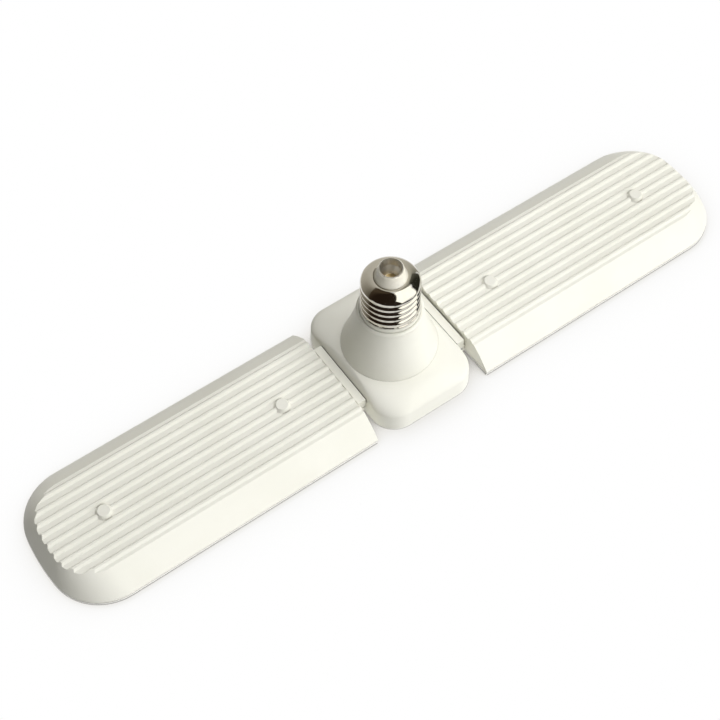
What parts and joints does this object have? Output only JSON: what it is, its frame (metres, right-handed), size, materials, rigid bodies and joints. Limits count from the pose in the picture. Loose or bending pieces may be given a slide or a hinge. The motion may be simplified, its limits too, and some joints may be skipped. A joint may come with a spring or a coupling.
{
  "type": "led bulb",
  "caption": "Screw-cap LED lamp with a conical hub and two long, ribbed light panels that fold down on hinges.",
  "frame": {"origin": "on the cap's axis, at the level of the lenses, the lamp's lowest face with the panels open", "axes": "+Z towards the cap's centre contact, X along the open panels, Y across them"},
  "size_m": [0.359, 0.0692, 0.0684],
  "materials": {
    "white_housing": "warm white moulded plastic, satin, fine grain",
    "nickel_shell": "bright nickel plating on brass sheet",
    "cap_insulator": "cream moulded insulator, glossy",
    "nickel_contact": "nickel-plated contact, slightly worn",
    "brass_rivet": "drawn brass",
    "steel_screws": "zinc-plated steel",
    "steel_pins": "ground steel",
    "nylon_washers": "natural nylon",
    "lens_diffuser": "milky diffusing plastic",
    "board_aluminium": "aluminium board with a white solder mask underneath",
    "led_phosphor": "yellow phosphor in a white package",
    "circuit_board": "green solder mask on glass-fibre board",
    "capacitor_sleeve": "printed shrink sleeve, left plain",
    "film_capacitor": "brown boxed film capacitor",
    "ferrite": "sintered ferrite",
    "copper_wire": "enamelled copper winding",
    "black_epoxy": "moulded black epoxy",
    "resistor_body": "flameproof coating",
    "terminal_nylon": "white nylon connector",
    "lead_red": "insulated lead",
    "lead_black": "insulated lead",
    "lead_white": "insulated lead"
  },
  "bodies": {
    "hub": {"hub_housing": "white_housing", "hub_cover": "white_housing", "cover_screws": "steel_screws", "screw_shell": "nickel_shell", "cap_insulator": "cap_insulator", "centre_contact": "nickel_contact", "contact_rivet": "brass_rivet", "driver_board": "circuit_board", "smoothing_capacitor": "capacitor_sleeve", "film_capacitor": "film_capacitor", "inductor_core": "ferrite", "inductor_winding": "copper_wire", "bridge_rectifier": "black_epoxy", "driver_chip": "black_epoxy", "fuse_resistor": "resistor_body", "output_terminals": "terminal_nylon", "live_lead": "lead_red", "neutral_lead": "lead_black", "left_hinge_pins": "steel_pins", "right_hinge_pins": "steel_pins", "left_friction_washers": "nylon_washers", "right_friction_washers": "nylon_washers", "left_hub_leads": "lead_white", "right_hub_leads": "lead_white"},
    "left_panel": {"left_panel_housing": "white_housing", "left_led_board": "board_aluminium", "left_led_chips": "led_phosphor", "left_lens": "lens_diffuser", "left_board_screws": "steel_screws", "left_panel_leads": "lead_white"},
    "right_panel": {"right_panel_housing": "white_housing", "right_led_board": "board_aluminium", "right_led_chips": "led_phosphor", "right_lens": "lens_diffuser", "right_board_screws": "steel_screws", "right_panel_leads": "lead_white"}
  },
  "joints": [
    {"name": "right_panel_hinge", "type": "hinge", "parent": "hub", "child": "right_panel", "pos_m": [0.0284, 0, 0.0025], "axis": [0, 1, 0], "range_deg": [0, 90]},
    {"name": "left_panel_hinge", "type": "hinge", "parent": "hub", "child": "left_panel", "pos_m": [-0.0284, 0, 0.0025], "axis": [0, -1, 0], "range_deg": [0, 90]}
  ]
}
